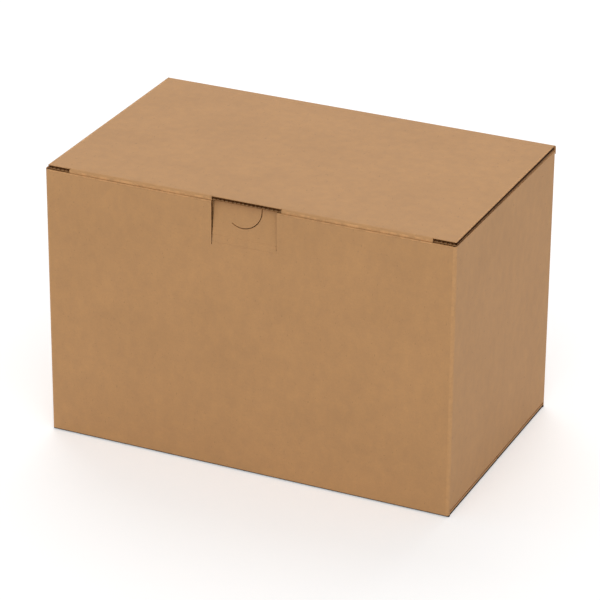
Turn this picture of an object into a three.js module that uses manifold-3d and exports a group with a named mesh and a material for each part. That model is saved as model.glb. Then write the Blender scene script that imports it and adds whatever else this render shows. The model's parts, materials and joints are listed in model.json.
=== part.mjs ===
// A divided glassware box: a tuck-top carton of corrugated board with a cross-slotted divider set.
// Millimetres, +Z up. The origin is the middle of the footprint, on the surface that the box stands on.
// The front, where the lid tucks in, faces -Y.
import * as THREE from "three";
import { mergeVertices } from "three/addons/utils/BufferGeometryUtils.js";
import Module from "manifold-3d";

const wasm = await Module();
wasm.setup();

// Driving dimensions of the carton.
const WIDTH = 280;
const DEPTH = 170;
const HEIGHT = 188;
const BOARD = 2.4;
const CORNER_RADIUS = 2.4;
const FOLD_RADIUS = 2.4;
const CORNER_DROP = 1.2;
const ARC_STEPS = 5;

// Clearances: between pieces that only meet, and at cut edges that slide past each other.
const SEAT_GAP = 0.3;
const CUT_GAP = 0.6;

// The lid, its fold along the front and the tuck flap behind the front panel.
const LID_INSET = 1.2;
const LID_SHIFT = 1.1;
const LID_FRONT_INSET = 0.3;
const CREASE_INSET = 0.4;
const CREASE_DEPTH = 2.6;
const BEAD_RADIUS = 1.6;
const LIP_RADIUS = 0.8;
const CORNER_SLIT = 15.2;
const TUCK_LENGTH = 30;
const TUCK_LEAN = 6.6;
const TUCK_TAPER = 2;
const TUCK_CORNER = 14;
const TUCK_CORNER_STEPS = 8;

// The lock tab in the front panel and its half-moon finger cut.
const TAB_WIDTH = 44;
const TAB_HEIGHT = 25.4;
const TAB_SCORE_DEPTH = 25.4;
const TAB_LEAN = 8;
const TAB_SLIT = 0.4;
const TAB_SLIT_RIGHT = 0.2;
const TAB_OVERCUT = 4.2;
const TAB_CENTRE = -0.7;
const LOCK_SLIT_LEFT = 0.2;
const LOCK_SLIT_RIGHT = 3;
const MOON_RADIUS = 12.5;
const MOON_OFFSET = -1.6;
const MOON_DROP = 3;
const MOON_CUT = 0.5;
const MOON_ARC = 126;

// The dust flaps under the lid, the glued bottom flaps and the glued side seam.
const DUST_LENGTH = 62;
const DUST_TAPER = 7;
const DUST_SETBACK = 3.6;
const DUST_ROOT = 14;
const SIDE_BOTTOM_LENGTH = 84;
const BOTTOM_SEAM = 1.2;
const BOTTOM_INSET = 0.5;
const SEAM_FLAP = 30;
const SEAM_TAPER = 6;

// The divider set: one long strip and the cross strips that slot down over it.
const DIVIDER_HEIGHT = 140;
const CROSS_COUNT = 2;
const END_CLEARANCE = 0.8;
const SLOT_CLEARANCE = 0.5;

// Flutes of the board, seen at the lid's raw front edge.
const FLUTE_PITCH = 2.8;
const LINER = 0.34;
const MEDIUM = 0.3;
const FLUTE_POCKET = 2.5;
const FLUTE_STEPS = 4;
const FLUTE_OPEN = 0.4;

// Heights and planes that several pieces share.
const left = -WIDTH / 2;
const right = WIDTH / 2;
const front = -DEPTH / 2;
const back = DEPTH / 2;
const lidUnder = HEIGHT - BOARD;
const sideTop = lidUnder - SEAT_GAP;
const frontTop = HEIGHT - CREASE_DEPTH - SEAT_GAP;
const cornerTop = sideTop - CORNER_DROP;
const tuckFace = front + BOARD + SEAT_GAP;
const tabLeft = TAB_CENTRE - TAB_WIDTH / 2;
const tabRight = TAB_CENTRE + TAB_WIDTH / 2;
const tabFoot = frontTop - TAB_SCORE_DEPTH;
const floorTop = 2 * BOARD;
const bandFoot = BOARD + FOLD_RADIUS;
const hingeOffset = FOLD_RADIUS * (1 - Math.SQRT1_2);

const KRAFT = { color: 0xb88a5c, roughness: 0.85, metalness: 0 };
const KRAFT_INSIDE = { color: 0xa97f55, roughness: 0.9, metalness: 0 };

const radians = THREE.MathUtils.degToRad;

function solidOf(geometry) {
  const bare = geometry.clone();
  bare.deleteAttribute("normal");
  bare.deleteAttribute("uv");
  const merged = mergeVertices(bare, 1e-4);
  return new wasm.Manifold(
    new wasm.Mesh({
      numProp: 3,
      vertProperties: merged.attributes.position.array,
      triVerts: new Uint32Array(merged.index.array),
    }),
  );
}

function geometryOf(solid) {
  const mesh = solid.getMesh();
  const geometry = new THREE.BufferGeometry();
  geometry.setAttribute("position", new THREE.BufferAttribute(mesh.vertProperties, 3));
  geometry.setIndex(new THREE.BufferAttribute(mesh.triVerts, 1));
  geometry.computeVertexNormals();
  return geometry;
}

function joined(solids) {
  return solids.reduce((sum, next) => sum.add(next));
}

function outline(points) {
  return new THREE.Shape(points.map(([a, b]) => new THREE.Vector2(a, b)));
}

// Extrudes a section between two exact planes, so that faces meant to be level really are.
function extruded(shape, from, to, steps) {
  const options = { depth: 1, bevelEnabled: false, curveSegments: steps };
  const geometry = new THREE.ExtrudeGeometry(shape, options);
  const position = geometry.attributes.position;
  for (let i = 0; i < position.count; i++) {
    position.setZ(i, position.getZ(i) > 0.5 ? to : from);
  }
  return geometry;
}

function turned(geometry, xGoes, yGoes, zGoes) {
  const basis = [xGoes, yGoes, zGoes].map((v) => new THREE.Vector3(...v));
  return geometry.applyMatrix4(new THREE.Matrix4().makeBasis(...basis));
}

// A section drawn in (x, y) and raised from z0 to z1.
function raised(shape, z0, z1, steps = ARC_STEPS) {
  return solidOf(extruded(shape, z0, z1, steps));
}

// A section drawn in (y, z) and run along X from x0 to x1.
function alongX(shape, x0, x1, steps = ARC_STEPS) {
  return solidOf(turned(extruded(shape, x0, x1, steps), [0, 1, 0], [0, 0, 1], [1, 0, 0]));
}

// A section drawn in (x, z) and run along Y from y0 to y1.
function alongY(shape, y0, y1, steps = ARC_STEPS) {
  return solidOf(turned(extruded(shape, -y1, -y0, steps), [1, 0, 0], [0, 0, 1], [0, -1, 0]));
}

function block(x0, x1, y0, y1, z0, z1) {
  const plan = [
    [x0, y0],
    [x1, y0],
    [x1, y1],
    [x0, y1],
  ];
  return raised(outline(plan), z0, z1);
}

function part(name, solid, look) {
  const mesh = new THREE.Mesh(geometryOf(solid), new THREE.MeshStandardMaterial(look));
  mesh.name = name;
  return mesh;
}

// The box's plan with rounded upright folds, used to round all four corners at once.
function roundedPlan() {
  const r = CORNER_RADIUS;
  const shape = new THREE.Shape();
  shape.moveTo(left + r, front);
  shape.lineTo(right - r, front);
  shape.absarc(right - r, front + r, r, -Math.PI / 2, 0);
  shape.lineTo(right, back - r);
  shape.absarc(right - r, back - r, r, 0, Math.PI / 2);
  shape.lineTo(left + r, back);
  shape.absarc(left + r, back - r, r, Math.PI / 2, Math.PI);
  shape.lineTo(left, front + r);
  shape.absarc(left + r, front + r, r, Math.PI, 1.5 * Math.PI);
  return shape;
}

// The four walls as one bent band, and the front panel's top edge, which stands a little above the corners.
function wallBand() {
  const inside = block(left + BOARD, right - BOARD, front + BOARD, back - BOARD, 0, HEIGHT);
  const band = raised(roundedPlan(), bandFoot, cornerTop).subtract(inside);
  const frontEdge = block(
    left + CORNER_RADIUS,
    right - CORNER_RADIUS,
    front,
    front + BOARD,
    cornerTop - BOARD,
    frontTop,
  );
  return band.add(frontEdge);
}

// The front wall's fold at the bottom and the flap that runs back from it.
function frontFold() {
  const r = FOLD_RADIUS;
  const bandOverlap = bandFoot + BOARD;
  const shape = new THREE.Shape();
  shape.moveTo(front, bandOverlap);
  shape.lineTo(front, r);
  shape.absarc(front + r, r, r, Math.PI, 1.5 * Math.PI);
  shape.lineTo(-BOTTOM_SEAM / 2, 0);
  shape.lineTo(-BOTTOM_SEAM / 2, BOARD);
  shape.lineTo(front + BOARD, BOARD);
  shape.lineTo(front + BOARD, bandOverlap);
  return alongX(shape, left, right);
}

// Back wall, with its bottom flap and the rounded top fold where the lid starts.
function backWall() {
  const r = FOLD_RADIUS;
  const shape = new THREE.Shape();
  shape.moveTo(back - BOARD, HEIGHT);
  shape.lineTo(back - BOARD, BOARD);
  shape.lineTo(BOTTOM_SEAM / 2, BOARD);
  shape.lineTo(BOTTOM_SEAM / 2, 0);
  shape.lineTo(back - r, 0);
  shape.absarc(back - r, r, r, -Math.PI / 2, 0);
  shape.lineTo(back, HEIGHT - r);
  shape.absarc(back - r, HEIGHT - r, r, 0, Math.PI / 2);
  const low = alongX(shape, left, right);
  const y0 = back - BOARD - SEAT_GAP;
  const y1 = back + SEAT_GAP;
  return low
    .subtract(block(left - 1, left + LID_INSET + LID_SHIFT, y0, y1, sideTop, HEIGHT + 1))
    .subtract(block(right - LID_INSET, right + 1, y0, y1, sideTop, HEIGHT + 1));
}

// Right side wall between its folds, with the dust flap at its top and the inner bottom flap at its foot.
function sideWall() {
  const r = FOLD_RADIUS;
  const root = right - BOARD - FOLD_RADIUS;
  const shape = new THREE.Shape();
  shape.moveTo(right, BOARD + r);
  shape.lineTo(right, sideTop - r);
  shape.absarc(right - r, sideTop - r, r, 0, Math.PI / 2);
  shape.lineTo(root, sideTop);
  shape.lineTo(root, sideTop - BOARD);
  shape.lineTo(right - BOARD, sideTop - BOARD);
  shape.lineTo(right - BOARD, floorTop);
  shape.lineTo(right - SIDE_BOTTOM_LENGTH, floorTop);
  shape.lineTo(right - SIDE_BOTTOM_LENGTH, BOARD);
  shape.lineTo(right - r, BOARD);
  shape.absarc(right - r, BOARD + r, r, -Math.PI / 2, 0);
  const folded = alongY(shape, front + BOARD + SEAT_GAP, back - BOARD - SEAT_GAP);
  return folded.add(dustFlap());
}

// Dust flap: full depth at its root beside the lid's corner slit, then set back behind the tuck flap.
function dustFlap() {
  const rootFront = front + BOARD + SEAT_GAP;
  const rootBack = back - BOARD - SEAT_GAP;
  const tipX = right - DUST_LENGTH;
  const shape = outline([
    [right - BOARD, rootFront],
    [right - BOARD, rootBack],
    [right - DUST_ROOT, rootBack],
    [tipX, rootBack - DUST_TAPER],
    [tipX, rootFront + DUST_SETBACK + DUST_TAPER],
    [right - DUST_ROOT, rootFront + DUST_SETBACK],
    [right - DUST_ROOT, rootFront],
  ]);
  return raised(shape, sideTop - BOARD, sideTop);
}

// The flap that closes the tube, glued inside the left wall at the back corner.
function seamFlap() {
  const x0 = left + BOARD;
  const y1 = back - BOARD;
  const y0 = y1 - SEAM_FLAP;
  const z0 = floorTop;
  const z1 = sideTop - BOARD;
  const shape = outline([
    [y1, z0],
    [y1, z1],
    [y0, z1 - SEAM_TAPER],
    [y0, z0 + SEAM_TAPER],
  ]);
  return alongX(shape, x0, x0 + BOARD);
}

// Notch of the lock tab, with the slit at its left that runs on a little below the score line.
function tabOpening() {
  const x0 = tabLeft - TAB_SLIT;
  const x1 = tabRight + TAB_SLIT_RIGHT;
  const y0 = front - 1;
  const y1 = front + BOARD + SEAT_GAP / 2;
  return joined([
    block(x0, x1, y0, y1, tabFoot, HEIGHT),
    block(x0, tabLeft, y0, y1, tabFoot - TAB_OVERCUT, HEIGHT),
  ]);
}

// The outer bottom flaps stop a little short of the side folds above them.
function flapInset() {
  const short = BOARD + CUT_GAP;
  return block(right - BOTTOM_INSET, right + 1, front + short, back - short, -1, BOARD);
}

function boxBody() {
  const outerFlaps = joined([frontFold(), backWall()])
    .subtract(flapInset())
    .subtract(flapInset().mirror([1, 0, 0]));
  const folds = joined([outerFlaps, sideWall(), sideWall().mirror([1, 0, 0])]);
  const rounded = folds.intersect(raised(roundedPlan(), -1, HEIGHT + 1));
  return joined([wallBand(), rounded, seamFlap()]).subtract(tabOpening());
}

// Section of the lid at its folded front: rounded crease, lip over the front panel, leaning tuck flap.
function lidFold() {
  const r = BEAD_RADIUS;
  const face = front + CREASE_INSET;
  const lipFoot = frontTop + SEAT_GAP;
  const lean = radians(TUCK_LEAN);
  const along = [Math.sin(lean) * TUCK_LENGTH, Math.cos(lean) * TUCK_LENGTH];
  const through = [Math.cos(lean) * BOARD, Math.sin(lean) * BOARD];
  const shape = new THREE.Shape();
  shape.moveTo(face + r + 2 * BOARD, HEIGHT);
  shape.lineTo(face + r, HEIGHT);
  shape.absarc(face + r, HEIGHT - r, r, Math.PI / 2, Math.PI);
  shape.absarc(face + LIP_RADIUS, lipFoot + LIP_RADIUS, LIP_RADIUS, Math.PI, 1.5 * Math.PI);
  shape.lineTo(tuckFace, lipFoot);
  shape.lineTo(tuckFace + along[0], lipFoot - along[1]);
  shape.lineTo(tuckFace + along[0] + through[0], lipFoot - along[1] + through[1]);
  shape.lineTo(tuckFace + through[0], lidUnder);
  shape.lineTo(face + r + 2 * BOARD, lidUnder);
  return shape;
}

// Pockets beside the medium at a raw edge that faces -Y, between x0 and x1.
function flutePockets(x0, x1, face) {
  const count = Math.floor((x1 - x0) / FLUTE_PITCH);
  const start = (x0 + x1 - count * FLUTE_PITCH) / 2;
  const middle = HEIGHT - BOARD / 2;
  const swing = (BOARD - 2 * LINER - MEDIUM) / 2;
  const pockets = [];
  for (let i = 0; i < 2 * count; i++) {
    const side = i % 2 ? 1 : -1;
    const centre = start + ((i + 0.5) * FLUTE_PITCH) / 2;
    const wall = middle + side * (BOARD / 2 - LINER);
    const points = [];
    for (let k = 0; k <= FLUTE_STEPS; k++) {
      const across = (k / FLUTE_STEPS - 0.5) * 2 * FLUTE_OPEN;
      const wave = -side * swing * Math.cos(across * Math.PI);
      points.push([centre + across * FLUTE_PITCH, middle + wave + (side * MEDIUM) / 2]);
    }
    const half = (FLUTE_OPEN * FLUTE_PITCH * 3) / 4;
    points.push([centre + half, wall], [centre - half, wall]);
    if (side < 0) points.reverse();
    pockets.push(alongY(outline(points), face - 1, face + FLUTE_POCKET));
  }
  return joined(pockets);
}

// What is cut off each outer lower corner of the tuck flap: a slight taper, then a round corner.
function tuckCorner(edge) {
  const lean = radians(TUCK_LEAN);
  const tip = frontTop + SEAT_GAP - Math.cos(lean) * TUCK_LENGTH;
  const top = frontTop + SEAT_GAP;
  const r = TUCK_CORNER;
  const shape = new THREE.Shape();
  shape.moveTo(edge - 1, top);
  shape.lineTo(edge - 1, tip - 1);
  shape.lineTo(edge + TUCK_TAPER + r, tip - 1);
  shape.lineTo(edge + TUCK_TAPER + r, tip);
  shape.absarc(edge + TUCK_TAPER + r, tip + r, r, -Math.PI / 2, -Math.PI, true);
  shape.lineTo(edge, top);
  return alongY(shape, front, 0, TUCK_CORNER_STEPS);
}

function lid() {
  const x0 = left + LID_INSET + LID_SHIFT;
  const x1 = right - LID_INSET + LID_SHIFT;
  const slit0 = tabLeft - LOCK_SLIT_LEFT;
  const slit1 = tabRight + LOCK_SLIT_RIGHT;
  const crease0 = x0 + CORNER_SLIT;
  const crease1 = x1 - CORNER_SLIT;
  const raw = front + LID_FRONT_INSET;
  const foldRoot = front + CREASE_INSET + BEAD_RADIUS + BOARD;
  const tip = lidUnder - CREASE_DEPTH - TUCK_LENGTH;

  const panel = block(x0, x1, foldRoot, back - BOARD - SEAT_GAP, lidUnder, HEIGHT);
  const rawEdges = [
    [x0, crease0],
    [slit0, slit1],
    [crease1, x1],
  ];
  const lips = rawEdges.map(([a, b]) => block(a, b, raw, foldRoot, lidUnder, HEIGHT));
  const tuck = alongX(lidFold(), crease0, crease1)
    .subtract(block(slit0, slit1, front, foldRoot + BOARD + TUCK_LENGTH, tip, lidUnder))
    .subtract(block(slit0, slit1, front, foldRoot, lidUnder - 1, HEIGHT + 1))
    .subtract(tuckCorner(crease0))
    .subtract(tuckCorner(-crease1).mirror([1, 0, 0]));
  const pockets = rawEdges.map(([a, b]) => flutePockets(a + LINER, b - LINER, raw));
  return joined([panel, tuck, ...lips]).subtract(joined(pockets));
}

// The lock tab, drawn upright in its opening with its score line at the group's origin.
function lockTab() {
  const foot = CUT_GAP;
  const slab = block(-TAB_WIDTH / 2, TAB_WIDTH / 2, 0, BOARD, foot, TAB_HEIGHT);
  const inner = MOON_RADIUS - MOON_CUT / 2;
  const outer = MOON_RADIUS + MOON_CUT / 2;
  const end = -radians(MOON_ARC);
  const cut = new THREE.Shape();
  cut.moveTo(inner, MOON_DROP + 1);
  cut.lineTo(outer, MOON_DROP + 1);
  cut.lineTo(outer, 0);
  cut.absarc(0, 0, outer, 0, end, true);
  cut.absarc(0, 0, inner, end, 0, false);
  const moon = alongY(cut, -1, BOARD + 1).translate([MOON_OFFSET, 0, TAB_HEIGHT - MOON_DROP]);
  return slab.subtract(moon);
}

function slotPositions() {
  return Array.from({ length: CROSS_COUNT }, (_, i) => (WIDTH * (i + 1)) / (CROSS_COUNT + 1) - WIDTH / 2);
}

// Long strip, slotted from its top edge down to half its height.
function longDivider() {
  const reach = WIDTH / 2 - BOARD - END_CLEARANCE;
  const foot = floorTop + SEAT_GAP;
  const half = (BOARD + SLOT_CLEARANCE) / 2;
  const strip = block(-reach, reach, -BOARD / 2, BOARD / 2, foot, foot + DIVIDER_HEIGHT);
  const slots = slotPositions().map((x) =>
    block(x - half, x + half, -BOARD, BOARD, foot + DIVIDER_HEIGHT / 2, foot + DIVIDER_HEIGHT + 1),
  );
  return strip.subtract(joined(slots));
}

// Cross strip, slotted from its foot up to just past half its height, so that both feet are level.
function crossDivider() {
  const reach = DEPTH / 2 - BOARD - END_CLEARANCE;
  const foot = floorTop + SEAT_GAP;
  const half = (BOARD + SLOT_CLEARANCE) / 2;
  const strip = block(-BOARD / 2, BOARD / 2, -reach, reach, foot, foot + DIVIDER_HEIGHT);
  const slot = block(-BOARD, BOARD, -half, half, foot - 1, foot + DIVIDER_HEIGHT / 2 + SEAT_GAP);
  return strip.subtract(slot);
}

const box = new THREE.Group();
box.name = "divided_glassware_box";
box.add(part("box_body", boxBody(), KRAFT));

const lidHinge = new THREE.Group();
lidHinge.position.set(0, back - hingeOffset, HEIGHT - hingeOffset);
const lidMesh = part("lid", lid(), KRAFT);
lidMesh.position.copy(lidHinge.position).negate();
lidHinge.add(lidMesh);
box.add(lidHinge);

const tabHinge = new THREE.Group();
tabHinge.position.set(TAB_CENTRE, front, tabFoot);
tabHinge.rotation.x = -radians(TAB_LEAN);
tabHinge.add(part("lock_tab", lockTab(), KRAFT));
box.add(tabHinge);

box.add(part("long_divider", longDivider(), KRAFT_INSIDE));
slotPositions().forEach((x, i) => {
  const strip = part(`cross_divider_${i + 1}`, crossDivider(), KRAFT_INSIDE);
  strip.position.x = x;
  box.add(strip);
});

export default box;
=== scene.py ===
"""The looks of the divided glassware box: kraft board with its flutes, its creases, a floor and light."""

import json
import math

import bmesh
import bpy
from mathutils import Matrix, Vector, noise


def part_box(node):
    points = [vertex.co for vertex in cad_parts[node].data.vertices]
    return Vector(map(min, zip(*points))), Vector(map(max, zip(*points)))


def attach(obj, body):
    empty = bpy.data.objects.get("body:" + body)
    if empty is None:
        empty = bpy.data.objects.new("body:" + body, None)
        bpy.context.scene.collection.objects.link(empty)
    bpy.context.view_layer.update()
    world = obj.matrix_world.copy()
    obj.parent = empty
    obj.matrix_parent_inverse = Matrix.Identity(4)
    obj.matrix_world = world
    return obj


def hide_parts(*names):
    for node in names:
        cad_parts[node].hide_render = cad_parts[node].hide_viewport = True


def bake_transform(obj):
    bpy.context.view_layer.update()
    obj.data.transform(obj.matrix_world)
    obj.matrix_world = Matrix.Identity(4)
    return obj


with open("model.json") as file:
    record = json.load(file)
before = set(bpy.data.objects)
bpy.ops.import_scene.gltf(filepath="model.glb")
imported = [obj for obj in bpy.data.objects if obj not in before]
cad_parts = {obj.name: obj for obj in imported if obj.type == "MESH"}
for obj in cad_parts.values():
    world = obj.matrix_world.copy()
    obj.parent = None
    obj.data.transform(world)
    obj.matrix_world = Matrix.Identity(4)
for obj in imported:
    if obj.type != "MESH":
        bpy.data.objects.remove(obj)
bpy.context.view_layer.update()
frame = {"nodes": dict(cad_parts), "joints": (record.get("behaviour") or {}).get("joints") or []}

# Lengths are in metres, worked out from the frame or written in millimetres times MM.
MM = 0.001

body_low, body_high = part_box("box_body")
lid_low, lid_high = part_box("lid")
tab_low, tab_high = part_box("lock_tab")
strip_low, strip_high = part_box("cross_divider_1")
score = next(joint for joint in frame["joints"] if joint["name"] == "lock_tab_score")

LEFT, RIGHT = body_low[0], body_high[0]
FRONT, BACK = body_low[1], body_high[1]
TOP = lid_high[2]

# The board: two liners with a waved medium between them.
BOARD = strip_high[0] - strip_low[0]
SEAT = 0.3 * MM
LINER = 0.34 * MM
MEDIUM = 0.3 * MM
PITCH = 2.8 * MM
SWING = (BOARD - 2 * LINER - MEDIUM) / 2
WAVE_STEPS = 10

# The lid's outline, its front fold and its tuck flap.
LID_LEFT, LID_RIGHT = lid_low[0], lid_high[0]
LID_BACK = BACK - BOARD - SEAT
RAW_EDGE = lid_low[1]
SIDE_RECESS = 0.2 * MM
FOLD_RADIUS = 2.4 * MM
BEAD_RADIUS = 1.6 * MM
LIP_RADIUS = 0.25 * MM
LIP_FOOT = TOP - 2.87 * MM
INNER_BEND = 1.2 * MM
CREASE_FACE = RAW_EDGE + 0.1 * MM
CREASE_STEPS = 9
PANEL_TOP = TOP - 2.9 * MM
PANEL_CORNER_DROP = 1.2 * MM
TUCK_FACE = FRONT + BOARD + SEAT
TUCK_LENGTH = 30 * MM
TUCK_LEAN = math.radians(6.6)
TUCK_TAPER = 2 * MM
TUCK_CORNER = 14 * MM
TUCK_DOWN = (math.sin(TUCK_LEAN), -math.cos(TUCK_LEAN))
CORNER_SLIT = 15.2 * MM
EAR_LEFT = LID_LEFT + CORNER_SLIT
EAR_RIGHT = LID_RIGHT - CORNER_SLIT
SLIT_LEFT = tab_low[0] - 0.2 * MM
SLIT_RIGHT = tab_high[0] + 3 * MM

# Steps of the swept paper along its columns and rows.
COLUMN_STEP = 1.4 * MM
FLAT_STEP = 6 * MM
EAR_STEP = 2 * MM

# Uneven paper: lumps on the crease, a soft settling of the flat top, and a ragged end to the medium.
CRUMPLE = 0.16 * MM
CRUMPLE_RISE = 0.6
CRUMPLE_LUMPS = 1.1 / PITCH
CRUMPLE_SLOW = 0.045 / MM
SETTLE = 0.1 * MM
SETTLE_SCALE = 22
SETTLE_REACH = 12 * MM
MEDIUM_RAG = 0.25 * MM
MEDIUM_INSET = 0.15 * MM
MEDIUM_SETBACK = 0.3 * MM
MEDIUM_TIP = 3 * MM
MEDIUM_EAR_START = 1.5 * MM

# Where the looks change: a painted highlight of scuffed paper on the bead, and painted shade along the
# foot.
SCUFF_HIGHLIGHT_FOOT = LIP_FOOT - 0.01 * MM
SCUFF_HIGHLIGHT_TOP = TOP - 1.3 * MM
CONTACT_LINE = 1.3 * MM

# A cut edge is a face about as wide as the board and longer than that, above the bottom flaps.
CUT_NARROWEST = 0.6 * BOARD
CUT_WIDEST = 1.15 * BOARD
CUT_SHORTEST = 1.5 * BOARD
FLAPS_TOP = 2.2 * BOARD

# Tolerances for the meshes.
SAME_PLACE = 1e-6
SAME_HEIGHT = 1e-7
FLAT_ANGLE = math.radians(1)
SMOOTH_ANGLE = math.radians(35)
SHARP_ANGLE = math.radians(50)

# The order of the papers on a liner. Its rim takes the paper two places on: the cut liner's, and for the
# paler faces painted shade.
LINER_PAPER, SCUFF_HIGHLIGHT_PAPER = 0, 1
RIM_STEP = 2

# The order of the papers on the medium, and on the pieces that keep their CAD shape.
FLUTE, SHADED_SIDE_FLUTE = range(2)
SURFACE, ACROSS_FLUTES, ALONG_FLUTES, UPRIGHT_FOLD_HIGHLIGHT, SHADED = range(5)

# The camera's place and lens, fitted to the box's corners.
CAMERA_AZIMUTH = math.radians(24.502)
CAMERA_ELEVATION = math.radians(25.334)
CAMERA_ROLL = math.radians(0.412)
CAMERA_PLACE = Vector((765.0, -1680.9, 959.9)) * MM
CAMERA_LENS = 188.68
CAMERA_SENSOR = 36
CAMERA_REACH = 20

# The usual range of a noise's values.
NOISE_LOW, NOISE_HIGH = 0.3, 0.7

# The kraft's marks as noises: scale for each metre, detail and roughness.
CLOUDS = (28, 3, 0.55)
MOTTLE = (150, 3, 0.65)
PALE_PATCH_NOISE = (420, 3, 0.6)
CRUSHED_FLUTES = (500, 3, 0.5)
FLECKS = (900, 1, 0.5)
CROSS_GRAIN = (1300, 2, 0.6)
RAGGED_CUT = (1400, 2, 0.5)
GRAIN = (1500, 2, 0.6)

# How strongly the marks show on the kraft's face.
CLOUD_DEPTH = 0.035
MOTTLE_DARK = (0.955, 0.955, 0.965, 1)
MOTTLE_PALE = (1.045, 1.04, 1.02, 1)
FIBRE_SHADE = (0.95, 1.05)
FLECK_RANGE = (0.71, 0.78)
FLECK_COVER = 0.5
FLECK_SHARE = 0.62
PALE_PATCH_RANGE = (0.4, 0.62)
FIBRE_HEIGHT = 0.7
MOTTLE_HEIGHT = 0.6
FACE_BUMP = (0.35, 0.12 * MM)
FACE_ROUGHNESS = (0.62, 0.76)
MATT = 0.05

# A cut edge, with its heights as shares of the board's thickness from the middle.
EDGE_RAG = 0.04
EDGE_LINER = (0.33, 0.37)
EDGE_SWING = 0.28
EDGE_MEDIUM = (0.12, 0.07)
EDGE_CRUSHED = (0.45, 0.7)
EDGE_CRUSHED_COVER = (0.15, 0.8)
EDGE_SHARE = 0.72
EDGE_BUMP = (0.8, 0.5 * MM)
EDGE_ROUGHNESS = 0.92
EDGE_SPECULAR = 0.1
# Near-black painted shade for the hollows between the flutes on a cut edge.
SHADE_BETWEEN_FLUTES = (0.035, 0.019, 0.008, 1)


def linear(*srgb):
    """A colour written as 0 to 255 values, as Blender's linear colour."""
    shares = [value / 255 for value in srgb]
    return tuple(c / 12.92 if c <= 0.04045 else ((c + 0.055) / 1.055) ** 2.4 for c in shares) + (1.0,)


def toned(tone, share):
    """A colour made darker or paler by one share on each channel."""
    return tuple(min(1, c * share) for c in tone[:3]) + (1,)


class Nodes:
    """A short way to build a material's nodes."""

    def __init__(self, name):
        self.material = bpy.data.materials.new(name)
        self.material.use_nodes = True
        self.tree = self.material.node_tree
        self.tree.nodes.clear()
        self.output = self.tree.nodes.new("ShaderNodeOutputMaterial")

    def add(self, kind, inputs=None, **settings):
        node = self.tree.nodes.new(kind)
        for name, value in settings.items():
            setattr(node, name, value)
        for name, value in (inputs or {}).items():
            self.feed(node.inputs[name], value)
        return node

    def feed(self, socket, value):
        if isinstance(value, bpy.types.NodeSocket):
            self.tree.links.new(value, socket)
        else:
            socket.default_value = value

    def math(self, operation, a, b=0.0):
        node = self.add("ShaderNodeMath", operation=operation)
        self.feed(node.inputs[0], a)
        self.feed(node.inputs[1], b)
        return node.outputs[0]

    def ramp(self, value, low, high, out_low=0.0, out_high=1.0):
        ends = {"From Min": low, "From Max": high, "To Min": out_low, "To Max": out_high}
        return self.add("ShaderNodeMapRange", {"Value": value, **ends}, clamp=True).outputs[0]

    def spread_out(self, value, out_low=0.0, out_high=1.0):
        """A noise's value, brought from its usual range to another one."""
        return self.ramp(value, NOISE_LOW, NOISE_HIGH, out_low, out_high)

    def noise(self, place, scale, detail, roughness):
        inputs = {"Vector": place, "Scale": scale, "Detail": detail, "Roughness": roughness}
        return self.add("ShaderNodeTexNoise", inputs).outputs["Fac"]

    def stretched(self, place, x, y, z):
        return self.add("ShaderNodeMapping", {"Vector": place, "Scale": (x, y, z)}).outputs[0]

    def mix(self, share, a, b, blend="MIX"):
        node = self.add("ShaderNodeMix", data_type="RGBA", blend_type=blend)
        self.feed(node.inputs["Factor"], share)
        self.feed(node.inputs["A"], a)
        self.feed(node.inputs["B"], b)
        return node.outputs["Result"]

    def bump(self, strength, depth, height):
        inputs = {"Strength": strength, "Distance": depth, "Height": height}
        return self.add("ShaderNodeBump", inputs).outputs[0]

    def finish(self, colour, roughness, bump, specular=0.5):
        shader = self.add("ShaderNodeBsdfPrincipled")
        self.feed(shader.inputs["Base Color"], colour)
        self.feed(shader.inputs["Roughness"], roughness)
        self.feed(shader.inputs["Normal"], bump)
        shader.inputs["Specular IOR Level"].default_value = specular
        self.tree.links.new(shader.outputs[0], self.output.inputs["Surface"])
        return self.material


def kraft(name, tone, scuff_highlight=0.0, specular=0.5):
    """Unprinted kraft liner: cloudy colour, short fibres all ways, a few flecks, and pale scuffed spots
    that also paint a highlight.
    """
    n = Nodes(name)
    place = n.add("ShaderNodeTexCoord").outputs["Object"]
    clouds = n.noise(place, *CLOUDS)
    mottle = n.noise(n.stretched(place, 1, 1, 0.7), *MOTTLE)
    grain = n.noise(n.stretched(place, 1, 0.45, 0.45), *GRAIN)
    cross_grain = n.noise(n.stretched(place, 0.4, 1, 1), *CROSS_GRAIN)
    flecks = n.noise(n.stretched(place, 1, 0.35, 0.6), *FLECKS)
    fibre = n.math("MULTIPLY", n.math("ADD", grain, cross_grain), 0.5)

    colour = n.mix(n.spread_out(clouds), toned(tone, 1 - CLOUD_DEPTH), toned(tone, 1 + CLOUD_DEPTH))
    colour = n.mix(1.0, colour, n.mix(n.spread_out(mottle), MOTTLE_DARK, MOTTLE_PALE), "MULTIPLY")
    shade = n.spread_out(fibre, *FIBRE_SHADE)
    shades = n.add("ShaderNodeCombineColor", {"Red": shade, "Green": shade, "Blue": shade}).outputs[0]
    colour = n.mix(1.0, colour, shades, "MULTIPLY")
    colour = n.mix(n.ramp(flecks, *FLECK_RANGE, 0, FLECK_COVER), colour, toned(tone, FLECK_SHARE))
    # Paler patches: scuffing, and on the folds also a painted highlight.
    if scuff_highlight:
        pale_patches = n.noise(n.stretched(place, 0.6, 1, 1), *PALE_PATCH_NOISE)
        colour = n.mix(n.ramp(pale_patches, *PALE_PATCH_RANGE), colour, toned(tone, 1 + scuff_highlight))

    fibre_height = n.math("MULTIPLY", fibre, FIBRE_HEIGHT)
    height = n.math("ADD", fibre_height, n.math("MULTIPLY", mottle, MOTTLE_HEIGHT))
    return n.finish(colour, n.spread_out(fibre, *FACE_ROUGHNESS), n.bump(*FACE_BUMP, height), specular)


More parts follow.
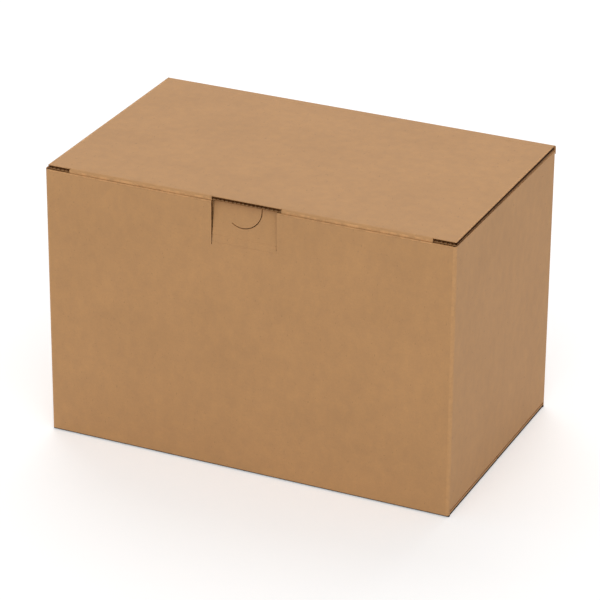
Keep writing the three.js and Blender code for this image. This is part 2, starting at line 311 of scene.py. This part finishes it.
def raw_edge(name, tone, waves):
    """A cut edge of the board on its UV map: u in flute pitches along it, v from liner to liner. Its
    hollows get painted shade.
    """
    n = Nodes(name)
    place = n.add("ShaderNodeTexCoord").outputs
    uv = n.add("ShaderNodeSeparateXYZ", {"Vector": place["UV"]}).outputs
    ragged = n.spread_out(n.noise(place["Object"], *RAGGED_CUT), -EDGE_RAG, EDGE_RAG)
    off_middle = n.math("SUBTRACT", n.math("ADD", uv["Y"], ragged), 0.5)
    liners = n.ramp(n.math("ABSOLUTE", off_middle), *EDGE_LINER)
    if waves:
        turns = n.math("MULTIPLY", uv["X"], 2 * math.pi)
        swing = n.math("MULTIPLY", n.math("SINE", turns), EDGE_SWING)
        off_wave = n.math("ABSOLUTE", n.math("SUBTRACT", off_middle, swing))
        medium = n.ramp(off_wave, *EDGE_MEDIUM)
    else:
        medium = n.ramp(n.noise(place["Object"], *CRUSHED_FLUTES), *EDGE_CRUSHED, *EDGE_CRUSHED_COVER)
    paper = n.math("MAXIMUM", liners, medium)
    # The hollows between the papers take the near-black painted shade.
    colour = n.mix(paper, SHADE_BETWEEN_FLUTES, toned(tone, EDGE_SHARE))
    return n.finish(colour, EDGE_ROUGHNESS, n.bump(*EDGE_BUMP, paper), EDGE_SPECULAR)


OUTSIDE_TONE = linear(188, 141, 92)
INSIDE_TONE = linear(178, 133, 87)
outside = kraft("kraft_outside", OUTSIDE_TONE)
inside = kraft("kraft_inside", INSIDE_TONE)
medium_paper = kraft("fluting_medium", linear(100, 64, 33), specular=MATT)
cut_paper = kraft("cut_liner", linear(112, 75, 40), specular=MATT)
# Painted shade: the dark contact line along the foot and the undersides of the long folds.
shaded_paper = kraft("painted_shade_foot_and_underside", linear(50, 41, 34), specular=MATT)
# Painted shade on the lid's side edges, its side flutes and the ends of its creases.
painted_shade_edge_paper = kraft("painted_shade_side_edge", linear(66, 37, 12), specular=MATT)
# Paler scuffed paper on the bead, the lid's side strips and the panel's top edge; it also paints a
# highlight.
scuffed_highlight_paper = kraft("scuffed_fold_painted_highlight", OUTSIDE_TONE, scuff_highlight=0.32)
# A painted highlight along the upright folds: slightly paler paper with a little scuffing.
upright_fold_highlight_paper = kraft("upright_fold_painted_highlight", toned(OUTSIDE_TONE, 1.05), scuff_highlight=0.08)
wave_edge = raw_edge("raw_edge_across_flutes", OUTSIDE_TONE, True)
groove_edge = raw_edge("raw_edge_along_flutes", OUTSIDE_TONE, False)


def piece_from(name, vertices, faces, materials):
    mesh = bpy.data.meshes.new(name)
    mesh.from_pydata([tuple(v) for v in vertices], [], faces)
    mesh.update()
    piece = bpy.data.objects.new(name, mesh)
    bpy.context.scene.collection.objects.link(piece)
    for material in materials:
        mesh.materials.append(material)
    mesh.shade_smooth()
    return piece


def add_grid(vertices, faces, columns, flip=False):
    """Adds a surface that is given as columns of points, all with the same number of points."""
    first = len(vertices)
    tall = len(columns[0])
    for column in columns:
        vertices.extend(column)
    for c in range(len(columns) - 1):
        for r in range(tall - 1):
            a = first + c * tall + r
            quad = (a, a + 1, a + tall + 1, a + tall)
            faces.append(quad[::-1] if flip else quad)


def thicken(piece, thickness, offset, rim=0):
    """Gives a surface its paper thickness. Offset -1 grows it behind its faces, 0 to both sides."""
    solid = piece.modifiers.new("paper", "SOLIDIFY")
    solid.thickness = thickness
    solid.offset = offset
    solid.material_offset_rim = rim


def merge_points(edit):
    bmesh.ops.remove_doubles(edit, verts=edit.verts, dist=SAME_PLACE)


def spread(start, end, step):
    """Evenly spaced values from start to end, no further apart than step."""
    count = max(1, math.ceil(abs(end - start) / step))
    return [start + (end - start) * i / count for i in range(count + 1)]


def arc(centre_y, centre_z, radius, from_angle, to_angle, steps):
    angles = [math.radians(from_angle + (to_angle - from_angle) * i / steps) for i in range(steps + 1)]
    return [(centre_y + radius * math.cos(a), centre_z + radius * math.sin(a)) for a in angles]


# The lid's paper layers, each swept along X as columns of (y, z) profiles.


def flat_rows(to_y, height):
    return [(y, height) for y in spread(LID_BACK, to_y, FLAT_STEP)]


def ear_rows(start_y, start_z):
    depths = spread(0, TUCK_LENGTH, EAR_STEP)
    return [(start_y + TUCK_DOWN[0] * d, start_z + TUCK_DOWN[1] * d) for d in depths]


def outer_crease_profile():
    """Lid top, the front crease's bead, the lip on the front panel and the tuck flap's outer face."""
    rows = flat_rows(CREASE_FACE + BEAD_RADIUS, TOP)
    rows += arc(CREASE_FACE + BEAD_RADIUS, TOP - BEAD_RADIUS, BEAD_RADIUS, 90, 180, CREASE_STEPS)[1:]
    rows += arc(CREASE_FACE + LIP_RADIUS, LIP_FOOT + LIP_RADIUS, LIP_RADIUS, 180, 270, CREASE_STEPS)[1:]
    return rows + ear_rows(TUCK_FACE, LIP_FOOT)


def inner_crease_profile():
    """Lid underside, the inside of the crease and the tuck flap's inner face."""
    ear = ear_rows(TUCK_FACE + BOARD * math.cos(TUCK_LEAN), LIP_FOOT + BOARD * math.sin(TUCK_LEAN))
    return flat_rows(ear[0][0] + INNER_BEND, TOP - BOARD) + ear[1:]


def lid_zones():
    """Spans along X as (start, end, side): side 0 is a raw edge, -1 the left crease, 1 the right one."""
    return [
        (LID_LEFT, EAR_LEFT, 0),
        (EAR_LEFT, SLIT_LEFT, -1),
        (SLIT_LEFT, SLIT_RIGHT, 0),
        (SLIT_RIGHT, EAR_RIGHT, 1),
        (EAR_RIGHT, LID_RIGHT, 0),
    ]


def ear_span(side, depth):
    """Left and right limits of one ear of the tuck flap at a depth below the lip."""
    below = max(0, depth - (TUCK_LENGTH - TUCK_CORNER))
    round_off = TUCK_CORNER - math.sqrt(max(0, TUCK_CORNER**2 - below**2))
    cut = TUCK_TAPER * min(1, depth / (TUCK_LENGTH - TUCK_CORNER)) + round_off
    return (EAR_LEFT + cut, SLIT_LEFT) if side < 0 else (SLIT_RIGHT, EAR_RIGHT - cut)


def ear_place(x, zone, depth, inset=0.0):
    """Where a column of a crease zone lies along X once the ear has narrowed."""
    x0, x1, side = zone
    low, high = ear_span(side, min(TUCK_LENGTH, depth))
    return low + inset + (high - low - 2 * inset) * (x - x0) / (x1 - x0)


def crumple(x, y, z):
    """A small lumpy offset for folded paper: one lump for each crushed flute, and slower waves."""
    flute = noise.noise(Vector((x * CRUMPLE_LUMPS, y / MM * 0.12, z / MM * 0.12)))
    slow = noise.noise(Vector((x * CRUMPLE_SLOW, y / MM * 0.03, 7.3)))
    return CRUMPLE * (0.6 * flute + 0.8 * slow)


def settle(x, y, z):
    """A soft unevenness of the lid's flat part, which fades out towards the hinge."""
    fade = min(1, max(0, (LID_BACK - y) / SETTLE_REACH))
    return SETTLE * fade * noise.noise(Vector((x, y, z)) * SETTLE_SCALE)


def folded_point(x, y, z, zone, outward):
    """A point of the crease, lumpy, or of the ear below it, smooth and narrowed."""
    depth = (LIP_FOOT - z) / math.cos(TUCK_LEAN)
    if depth > 0:
        return (ear_place(x, zone, depth), y, z)
    lump = crumple(x, y, z) * outward
    return (x, y - lump, z + lump * CRUMPLE_RISE)


def layer_column(x, rows, flat_count, zone, outward):
    """One column of a liner: uneven flat rows, then the fold, or a straight run to the raw edge."""
    column = [(x, y, z + settle(x, y, z)) for y, z in rows[:flat_count - 1]]
    column.append((x, *rows[flat_count - 1]))
    for y, z in rows[flat_count:]:
        column.append(folded_point(x, y, z, zone, outward) if zone[2] else (x, y, z))
    return column


def layer_looks(columns, rows, zone, outward):
    """Paler scuffed paper, also a painted highlight, on the outer bead and next to the lid's side edges,
    with painted shade on their rims; plain liner elsewhere.
    """
    x0, x1, side = zone
    last = len(columns) - 2
    looks = []
    for c in range(len(columns) - 1):
        at_side = x0 == LID_LEFT and c == 0 or x1 == LID_RIGHT and c == last
        for _, z in rows[1:]:
            on_bead = outward > 0 and side and SCUFF_HIGHLIGHT_FOOT < z < SCUFF_HIGHLIGHT_TOP
            looks.append(SCUFF_HIGHLIGHT_PAPER if on_bead or at_side else LINER_PAPER)
    return looks


def lid_layer(name, crease_profile, height, outward, material):
    """One liner of the lid. Crease zones run on round the fold, raw zones stop at the cut front edge."""
    flat_count = next(i for i, row in enumerate(crease_profile) if abs(row[1] - height) > SAME_HEIGHT)
    raw_profile = crease_profile[:flat_count] + [(RAW_EDGE, height)]
    vertices, faces, looks = [], [], []
    for zone in lid_zones():
        rows = crease_profile if zone[2] else raw_profile
        columns = spread(zone[0], zone[1], COLUMN_STEP)
        points = [layer_column(x, rows, flat_count, zone, outward) for x in columns]
        add_grid(vertices, faces, points, flip=outward < 0)
        looks += layer_looks(columns, rows, zone, outward)
    # The outer liner's bead and side columns take the paler paper, a painted highlight; their rims take
    # painted shade.
    bead_and_side_paper = scuffed_highlight_paper if outward > 0 else material
    piece = piece_from(name, vertices, faces, [material, bead_and_side_paper, cut_paper, painted_shade_edge_paper])
    piece.data.polygons.foreach_set("material_index", looks)
    edit = bmesh.new()
    edit.from_mesh(piece.data)
    merge_points(edit)
    edit.to_mesh(piece.data)
    edit.free()
    thicken(piece, LINER, -1, rim=RIM_STEP)
    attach(piece, "lid")
    return piece


def wave(x):
    """The medium's height off its middle. It lies on the lower liner at the lid's side edges."""
    return -SWING * math.cos(2 * math.pi * (x - LID_LEFT - SIDE_RECESS) / PITCH)


def medium_column(x, tip):
    """The medium's straight run from the hinge side to a slightly ragged tip."""
    rag = MEDIUM_RAG * abs(noise.noise(Vector((x / MM * 0.9, 3.1, 0))))
    height = TOP - BOARD / 2 + wave(x)
    return [(x, y, height) for y in (LID_BACK - MEDIUM_INSET, tip + MEDIUM_TIP, tip + rag)]


def ear_medium_column(x, zone):
    """The medium's run down inside one ear of the tuck flap."""
    out = BOARD / 2 + wave(x)
    column = []
    for d in spread(MEDIUM_EAR_START, TUCK_LENGTH - MEDIUM_INSET, EAR_STEP):
        y = TUCK_FACE + TUCK_DOWN[0] * d + math.cos(TUCK_LEAN) * out
        z = LIP_FOOT + TUCK_DOWN[1] * d + math.sin(TUCK_LEAN) * out
        column.append((ear_place(x, zone, d, MEDIUM_INSET), y, z))
    return column


def lid_medium():
    """The fluted medium between the lid's liners, and its run down inside each ear of the tuck flap, with
    painted shade on the flutes by the lid's side edges.
    """
    vertices, faces = [], []
    step = PITCH / WAVE_STEPS
    for zone in lid_zones():
        x0, x1, side = zone
        tip = CREASE_FACE + BEAD_RADIUS if side else RAW_EDGE + MEDIUM_SETBACK
        start = x0 + SIDE_RECESS if x0 == LID_LEFT else x0
        end = x1 - SIDE_RECESS if x1 == LID_RIGHT else x1
        add_grid(vertices, faces, [medium_column(x, tip) for x in spread(start, end, step)])
        if side:
            add_grid(vertices, faces, [ear_medium_column(x, zone) for x in spread(x0, x1, step)])
    piece = piece_from("lid_medium", vertices, faces, [medium_paper, painted_shade_edge_paper])
    # The flutes next to the lid's side edges take painted shade.
    for face in piece.data.polygons:
        from_side = min(face.center.x - LID_LEFT, LID_RIGHT - face.center.x)
        face.material_index = SHADED_SIDE_FLUTE if from_side < PITCH / 2 else FLUTE
    thicken(piece, MEDIUM, 0)
    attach(piece, "lid")


# Pieces that keep their CAD shape: their flat faces are joined up, and their cut edges get flutes.


def flute_axis(node, centre):
    """The axis (0, 1 or 2) along which the flutes run in the panel that a face belongs to."""
    if node != "box_body":
        return 2
    if centre.z < 2 * BOARD:
        return 1 if centre.z < BOARD else 0
    under_lid = TOP - BOARD - SEAT - BOARD
    inside_walls = abs(centre.x) < RIGHT - BOARD and abs(centre.y) < BACK - BOARD
    return 0 if centre.z > under_lid and inside_walls else 2


def cut_edge_axes(face):
    """The axes across and along a face that is as narrow as the board and sharp on its long sides."""
    points = [v.co for v in face.verts]
    extents = [max(p[k] for p in points) - min(p[k] for p in points) for k in range(3)]
    normal_axis = max(range(3), key=lambda k: abs(face.normal[k]))
    across, along = sorted((k for k in range(3) if k != normal_axis), key=lambda k: extents[k])
    if not CUT_NARROWEST < extents[across] < CUT_WIDEST or extents[along] <= CUT_SHORTEST:
        return None
    for edge in face.edges:
        length = abs((edge.verts[0].co - edge.verts[1].co)[along])
        if length > 0.5 * extents[along] and edge.calc_face_angle(0) < SHARP_ANGLE:
            return None
    return normal_axis, across, along, extents[across]


def mark_cut_edges(edit, node):
    """Gives each narrow face between two sharp edges a cut-edge material and a UV along the flutes."""
    uv_layer = edit.loops.layers.uv.new("UVMap")
    for face in edit.faces:
        in_foot = max(v.co.z for v in face.verts) < FLAPS_TOP
        axes = cut_edge_axes(face)
        if node == "box_body" and in_foot or axes is None:
            continue
        normal_axis, across, along, width = axes
        low = min(v.co[across] for v in face.verts)
        end_on = flute_axis(node, face.calc_center_median()) == normal_axis
        face.material_index = ACROSS_FLUTES if end_on else ALONG_FLUTES
        for loop in face.loops:
            place = loop.vert.co
            loop[uv_layer].uv = (place[along] / PITCH, (place[across] - low) / width)


def mark_folds(edit):
    """Gives the upright folds a paler, scuffed paper that is also a painted highlight, and the foot and
    its long folds' undersides painted shade.
    """
    everything = edit.verts[:] + edit.edges[:] + edit.faces[:]
    bmesh.ops.bisect_plane(edit, geom=everything, plane_co=(0, 0, CONTACT_LINE), plane_no=(0, 0, 1))
    for face in edit.faces:
        height = face.calc_center_median().z
        across, along, up = face.normal
        turned_under = up < -0.4 and abs(along) > 0.3 and height < BOARD
        # Painted shade on the foot's contact line and on the undersides of the long folds.
        if height < CONTACT_LINE or turned_under:
            face.material_index = SHADED
        # The upright folds take the paler paper of a painted highlight.
        slanted = min(abs(across), abs(along)) > 0.2
        if slanted and abs(up) < 0.1 and height > 2 * BOARD:
            face.material_index = UPRIGHT_FOLD_HIGHLIGHT


def raise_corners(edit):
    """Draws the two front upright folds up level with the front panel: the paper is one sheet there."""
    reach = 1.01 * FOLD_RADIUS
    for vert in edit.verts:
        place = vert.co
        on_fold = abs(place.x) > RIGHT - reach and place.y < FRONT + reach
        if on_fold and place.z > PANEL_TOP - PANEL_CORNER_DROP:
            place.z = PANEL_TOP
    merge_points(edit)


def soften(piece):
    bevel = piece.modifiers.new("soft_edges", "BEVEL")
    bevel.width = 0.18 * MM
    bevel.segments = 2
    bevel.limit_method = "ANGLE"
    bevel.angle_limit = SHARP_ANGLE


def dressed(node, name, body, surface, soft=True):
    """A finished copy of a CAD node, with smooth folds, softened edges and fluted cut edges."""
    mesh = frame["nodes"][node].data.copy()
    mesh.name = name
    mesh.materials.clear()
    edit = bmesh.new()
    edit.from_mesh(mesh)
    merge_points(edit)
    if node == "box_body":
        raise_corners(edit)
    bmesh.ops.dissolve_limit(edit, angle_limit=FLAT_ANGLE, verts=edit.verts, edges=edit.edges)
    for face in edit.faces:
        face.smooth = True
        face.material_index = SURFACE
    for edge in edit.edges:
        edge.smooth = edge.calc_face_angle(0) < SMOOTH_ANGLE
    mark_cut_edges(edit, node)
    if node == "box_body":
        mark_folds(edit)
    edit.to_mesh(mesh)
    edit.free()
    for material in (surface, wave_edge, groove_edge, upright_fold_highlight_paper, shaded_paper):
        mesh.materials.append(material)
    piece = bpy.data.objects.new(name, mesh)
    bpy.context.scene.collection.objects.link(piece)
    if soft:
        soften(piece)
    piece.modifiers.new("flat_normals", "WEIGHTED_NORMAL").keep_sharp = True
    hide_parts(node)
    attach(piece, body)


# Liner strips over the lid's crease, the front panel's rim and the lock tab's score line.


def strip(name, rows, x0, x1, material, thickness):
    vertices, faces = [], []
    add_grid(vertices, faces, [[(x, y, z) for y, z in rows] for x in spread(x0, x1, COLUMN_STEP)])
    piece = piece_from(name, vertices, faces, [material])
    thicken(piece, thickness, -1)
    return piece


def back_crease():
    """The outer liner where it runs from the back wall over the fold on to the lid."""
    proud = 0.03 * MM
    sunk = 0.05 * MM
    foot = TOP - FOLD_RADIUS
    rows = [(LID_BACK - 6 * MM, TOP - sunk)]
    rows += [(y, TOP + proud) for y in spread(LID_BACK - 4 * MM, BACK - FOLD_RADIUS, 0.5 * MM)]
    rows += arc(BACK - FOLD_RADIUS, foot, FOLD_RADIUS + proud, 90, 0, 12)[1:]
    rows += [(BACK + proud, z) for z in spread(foot, foot - 4 * MM, 1 * MM)][1:]
    piece = strip("back_crease", rows[::-1], LID_LEFT, LID_RIGHT, outside, 0.15 * MM)
    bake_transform(piece)


def front_rim(name, x0, x1):
    """The front panel's outer liner where it wears round over the panel's top edge, in paler paper that
    is also a painted highlight.
    """
    proud = 0.02 * MM
    radius = 0.35 * MM
    reach = 1 * MM
    face, top = FRONT - proud, PANEL_TOP + proud
    rows = [(face, PANEL_TOP - reach), (face, PANEL_TOP - radius)]
    rows += arc(face + radius, top - radius, radius, 180, 90, 5)[1:]
    rows.append((FRONT + reach, top))
    piece = strip(name, rows[::-1], x0, x1, scuffed_highlight_paper, 0.12 * MM)
    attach(piece, "carton")


def tab_score():
    """The outer liner across the lock tab's score line."""
    proud = 0.02 * MM
    step = 0.4 * MM
    inset = 0.1 * MM
    foot = score["pos_m"][2]
    slope = (tab_high[1] - BOARD - FRONT) / (tab_high[2] - foot)
    rows = [(FRONT - proud, z) for z in spread(foot - 2 * MM, foot, step)]
    rows += [(FRONT - proud + slope * d, foot + d) for d in spread(0, 3 * MM, step)][1:]
    piece = strip("tab_score", rows[::-1], tab_low[0] + inset, tab_high[0] - inset, outside, 0.15 * MM)
    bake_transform(piece)


outer = lid_layer("lid_outer_liner", outer_crease_profile(), TOP, 1, outside)
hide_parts("lid")
lid_layer("lid_inner_liner", inner_crease_profile(), TOP - BOARD, -1, inside)
lid_medium()
dressed("box_body", "carton_walls", "carton", outside, soft=False)
dressed("lock_tab", "lock_tab_board", "lock_tab", outside)
dressed("long_divider", "long_divider_board", "carton", inside)
for cross in sorted(name for name in frame["nodes"] if name.startswith("cross_divider")):
    dressed(cross, cross + "_board", "carton", inside)
back_crease()
front_rim("front_rim_left", LEFT + FOLD_RADIUS, tab_low[0] - 0.5 * MM)
front_rim("front_rim_right", tab_high[0] + 0.3 * MM, RIGHT - FOLD_RADIUS)
tab_score()


# Floor, light and camera.


def floor(reach, tone, glow_strength, glow_share):
    """A wide pale floor. A small share of it glows where it is seen, by the camera or in a gloss."""
    corners = [(-reach, -reach, 0), (reach, -reach, 0), (reach, reach, 0), (-reach, reach, 0)]
    n = Nodes("floor")
    diffuse = n.add("ShaderNodeBsdfDiffuse", {"Color": (tone, tone, tone, 1)}).outputs[0]
    glow = n.add("ShaderNodeEmission", {"Color": (1, 1, 1, 1), "Strength": glow_strength}).outputs[0]
    ray = n.add("ShaderNodeLightPath").outputs
    seen = n.math("MAXIMUM", ray["Is Camera Ray"], ray["Is Glossy Ray"])
    share = n.math("MULTIPLY", seen, glow_share)
    mixed = n.add("ShaderNodeMixShader", {0: share, 1: diffuse, 2: glow}).outputs[0]
    n.tree.links.new(mixed, n.output.inputs["Surface"])
    piece_from("floor", corners, [(0, 1, 2, 3)], [n.material])


def sky(strength):
    """An even white surround: full white where it is seen, and of the given strength as light."""
    world = bpy.data.worlds.new("studio")
    bpy.context.scene.world = world
    world.use_nodes = True
    tree = world.node_tree
    tree.nodes.clear()
    background = tree.nodes.new("ShaderNodeBackground")
    path = tree.nodes.new("ShaderNodeLightPath")
    either = tree.nodes.new("ShaderNodeMath")
    either.operation = "MAXIMUM"
    level = tree.nodes.new("ShaderNodeMapRange")
    level.inputs["To Min"].default_value = strength
    level.inputs["To Max"].default_value = 1.0
    output = tree.nodes.new("ShaderNodeOutputWorld")
    tree.links.new(path.outputs["Is Camera Ray"], either.inputs[0])
    tree.links.new(path.outputs["Is Glossy Ray"], either.inputs[1])
    tree.links.new(either.outputs[0], level.inputs["Value"])
    tree.links.new(level.outputs[0], background.inputs["Strength"])
    tree.links.new(background.outputs[0], output.inputs["Surface"])


def direction(azimuth, elevation):
    """The way from the box towards a place. The azimuth turns from the front towards the right."""
    level = math.cos(elevation)
    return Vector((math.sin(azimuth) * level, -math.cos(azimuth) * level, math.sin(elevation)))


def sun(name, azimuth, elevation, spread_angle, strength):
    """A broad soft light from above, with its angles in degrees."""
    data = bpy.data.lights.new(name, "SUN")
    data.angle = math.radians(spread_angle)
    data.energy = strength
    light = bpy.data.objects.new(name, data)
    bpy.context.scene.collection.objects.link(light)
    towards = direction(math.radians(azimuth), math.radians(elevation))
    light.rotation_euler = towards.to_track_quat("Z", "Y").to_euler()


def camera():
    away = direction(CAMERA_AZIMUTH, CAMERA_ELEVATION)
    side = (-away).cross(Vector((0, 0, 1))).normalized()
    up = away.cross(side)
    tilt_cos, tilt_sin = math.cos(CAMERA_ROLL), math.sin(CAMERA_ROLL)
    right_axis = side * tilt_cos + up * tilt_sin
    up_axis = up * tilt_cos - side * tilt_sin
    data = bpy.data.cameras.new("camera")
    data.lens = CAMERA_LENS
    data.sensor_width = CAMERA_SENSOR
    data.clip_end = CAMERA_REACH
    view = bpy.data.objects.new("camera", data)
    bpy.context.scene.collection.objects.link(view)
    turn = Matrix((right_axis, up_axis, away)).transposed().to_4x4()
    view.matrix_world = Matrix.Translation(CAMERA_PLACE) @ turn
    bpy.context.scene.camera = view


floor(reach=6.0, tone=0.96, glow_strength=5.2, glow_share=0.05)
sky(0.6)
sun("key", azimuth=21, elevation=50, spread_angle=55, strength=0.96)
sun("back", azimuth=204, elevation=48, spread_angle=50, strength=0.84)
camera()
bpy.context.scene.view_settings.view_transform = "Standard"
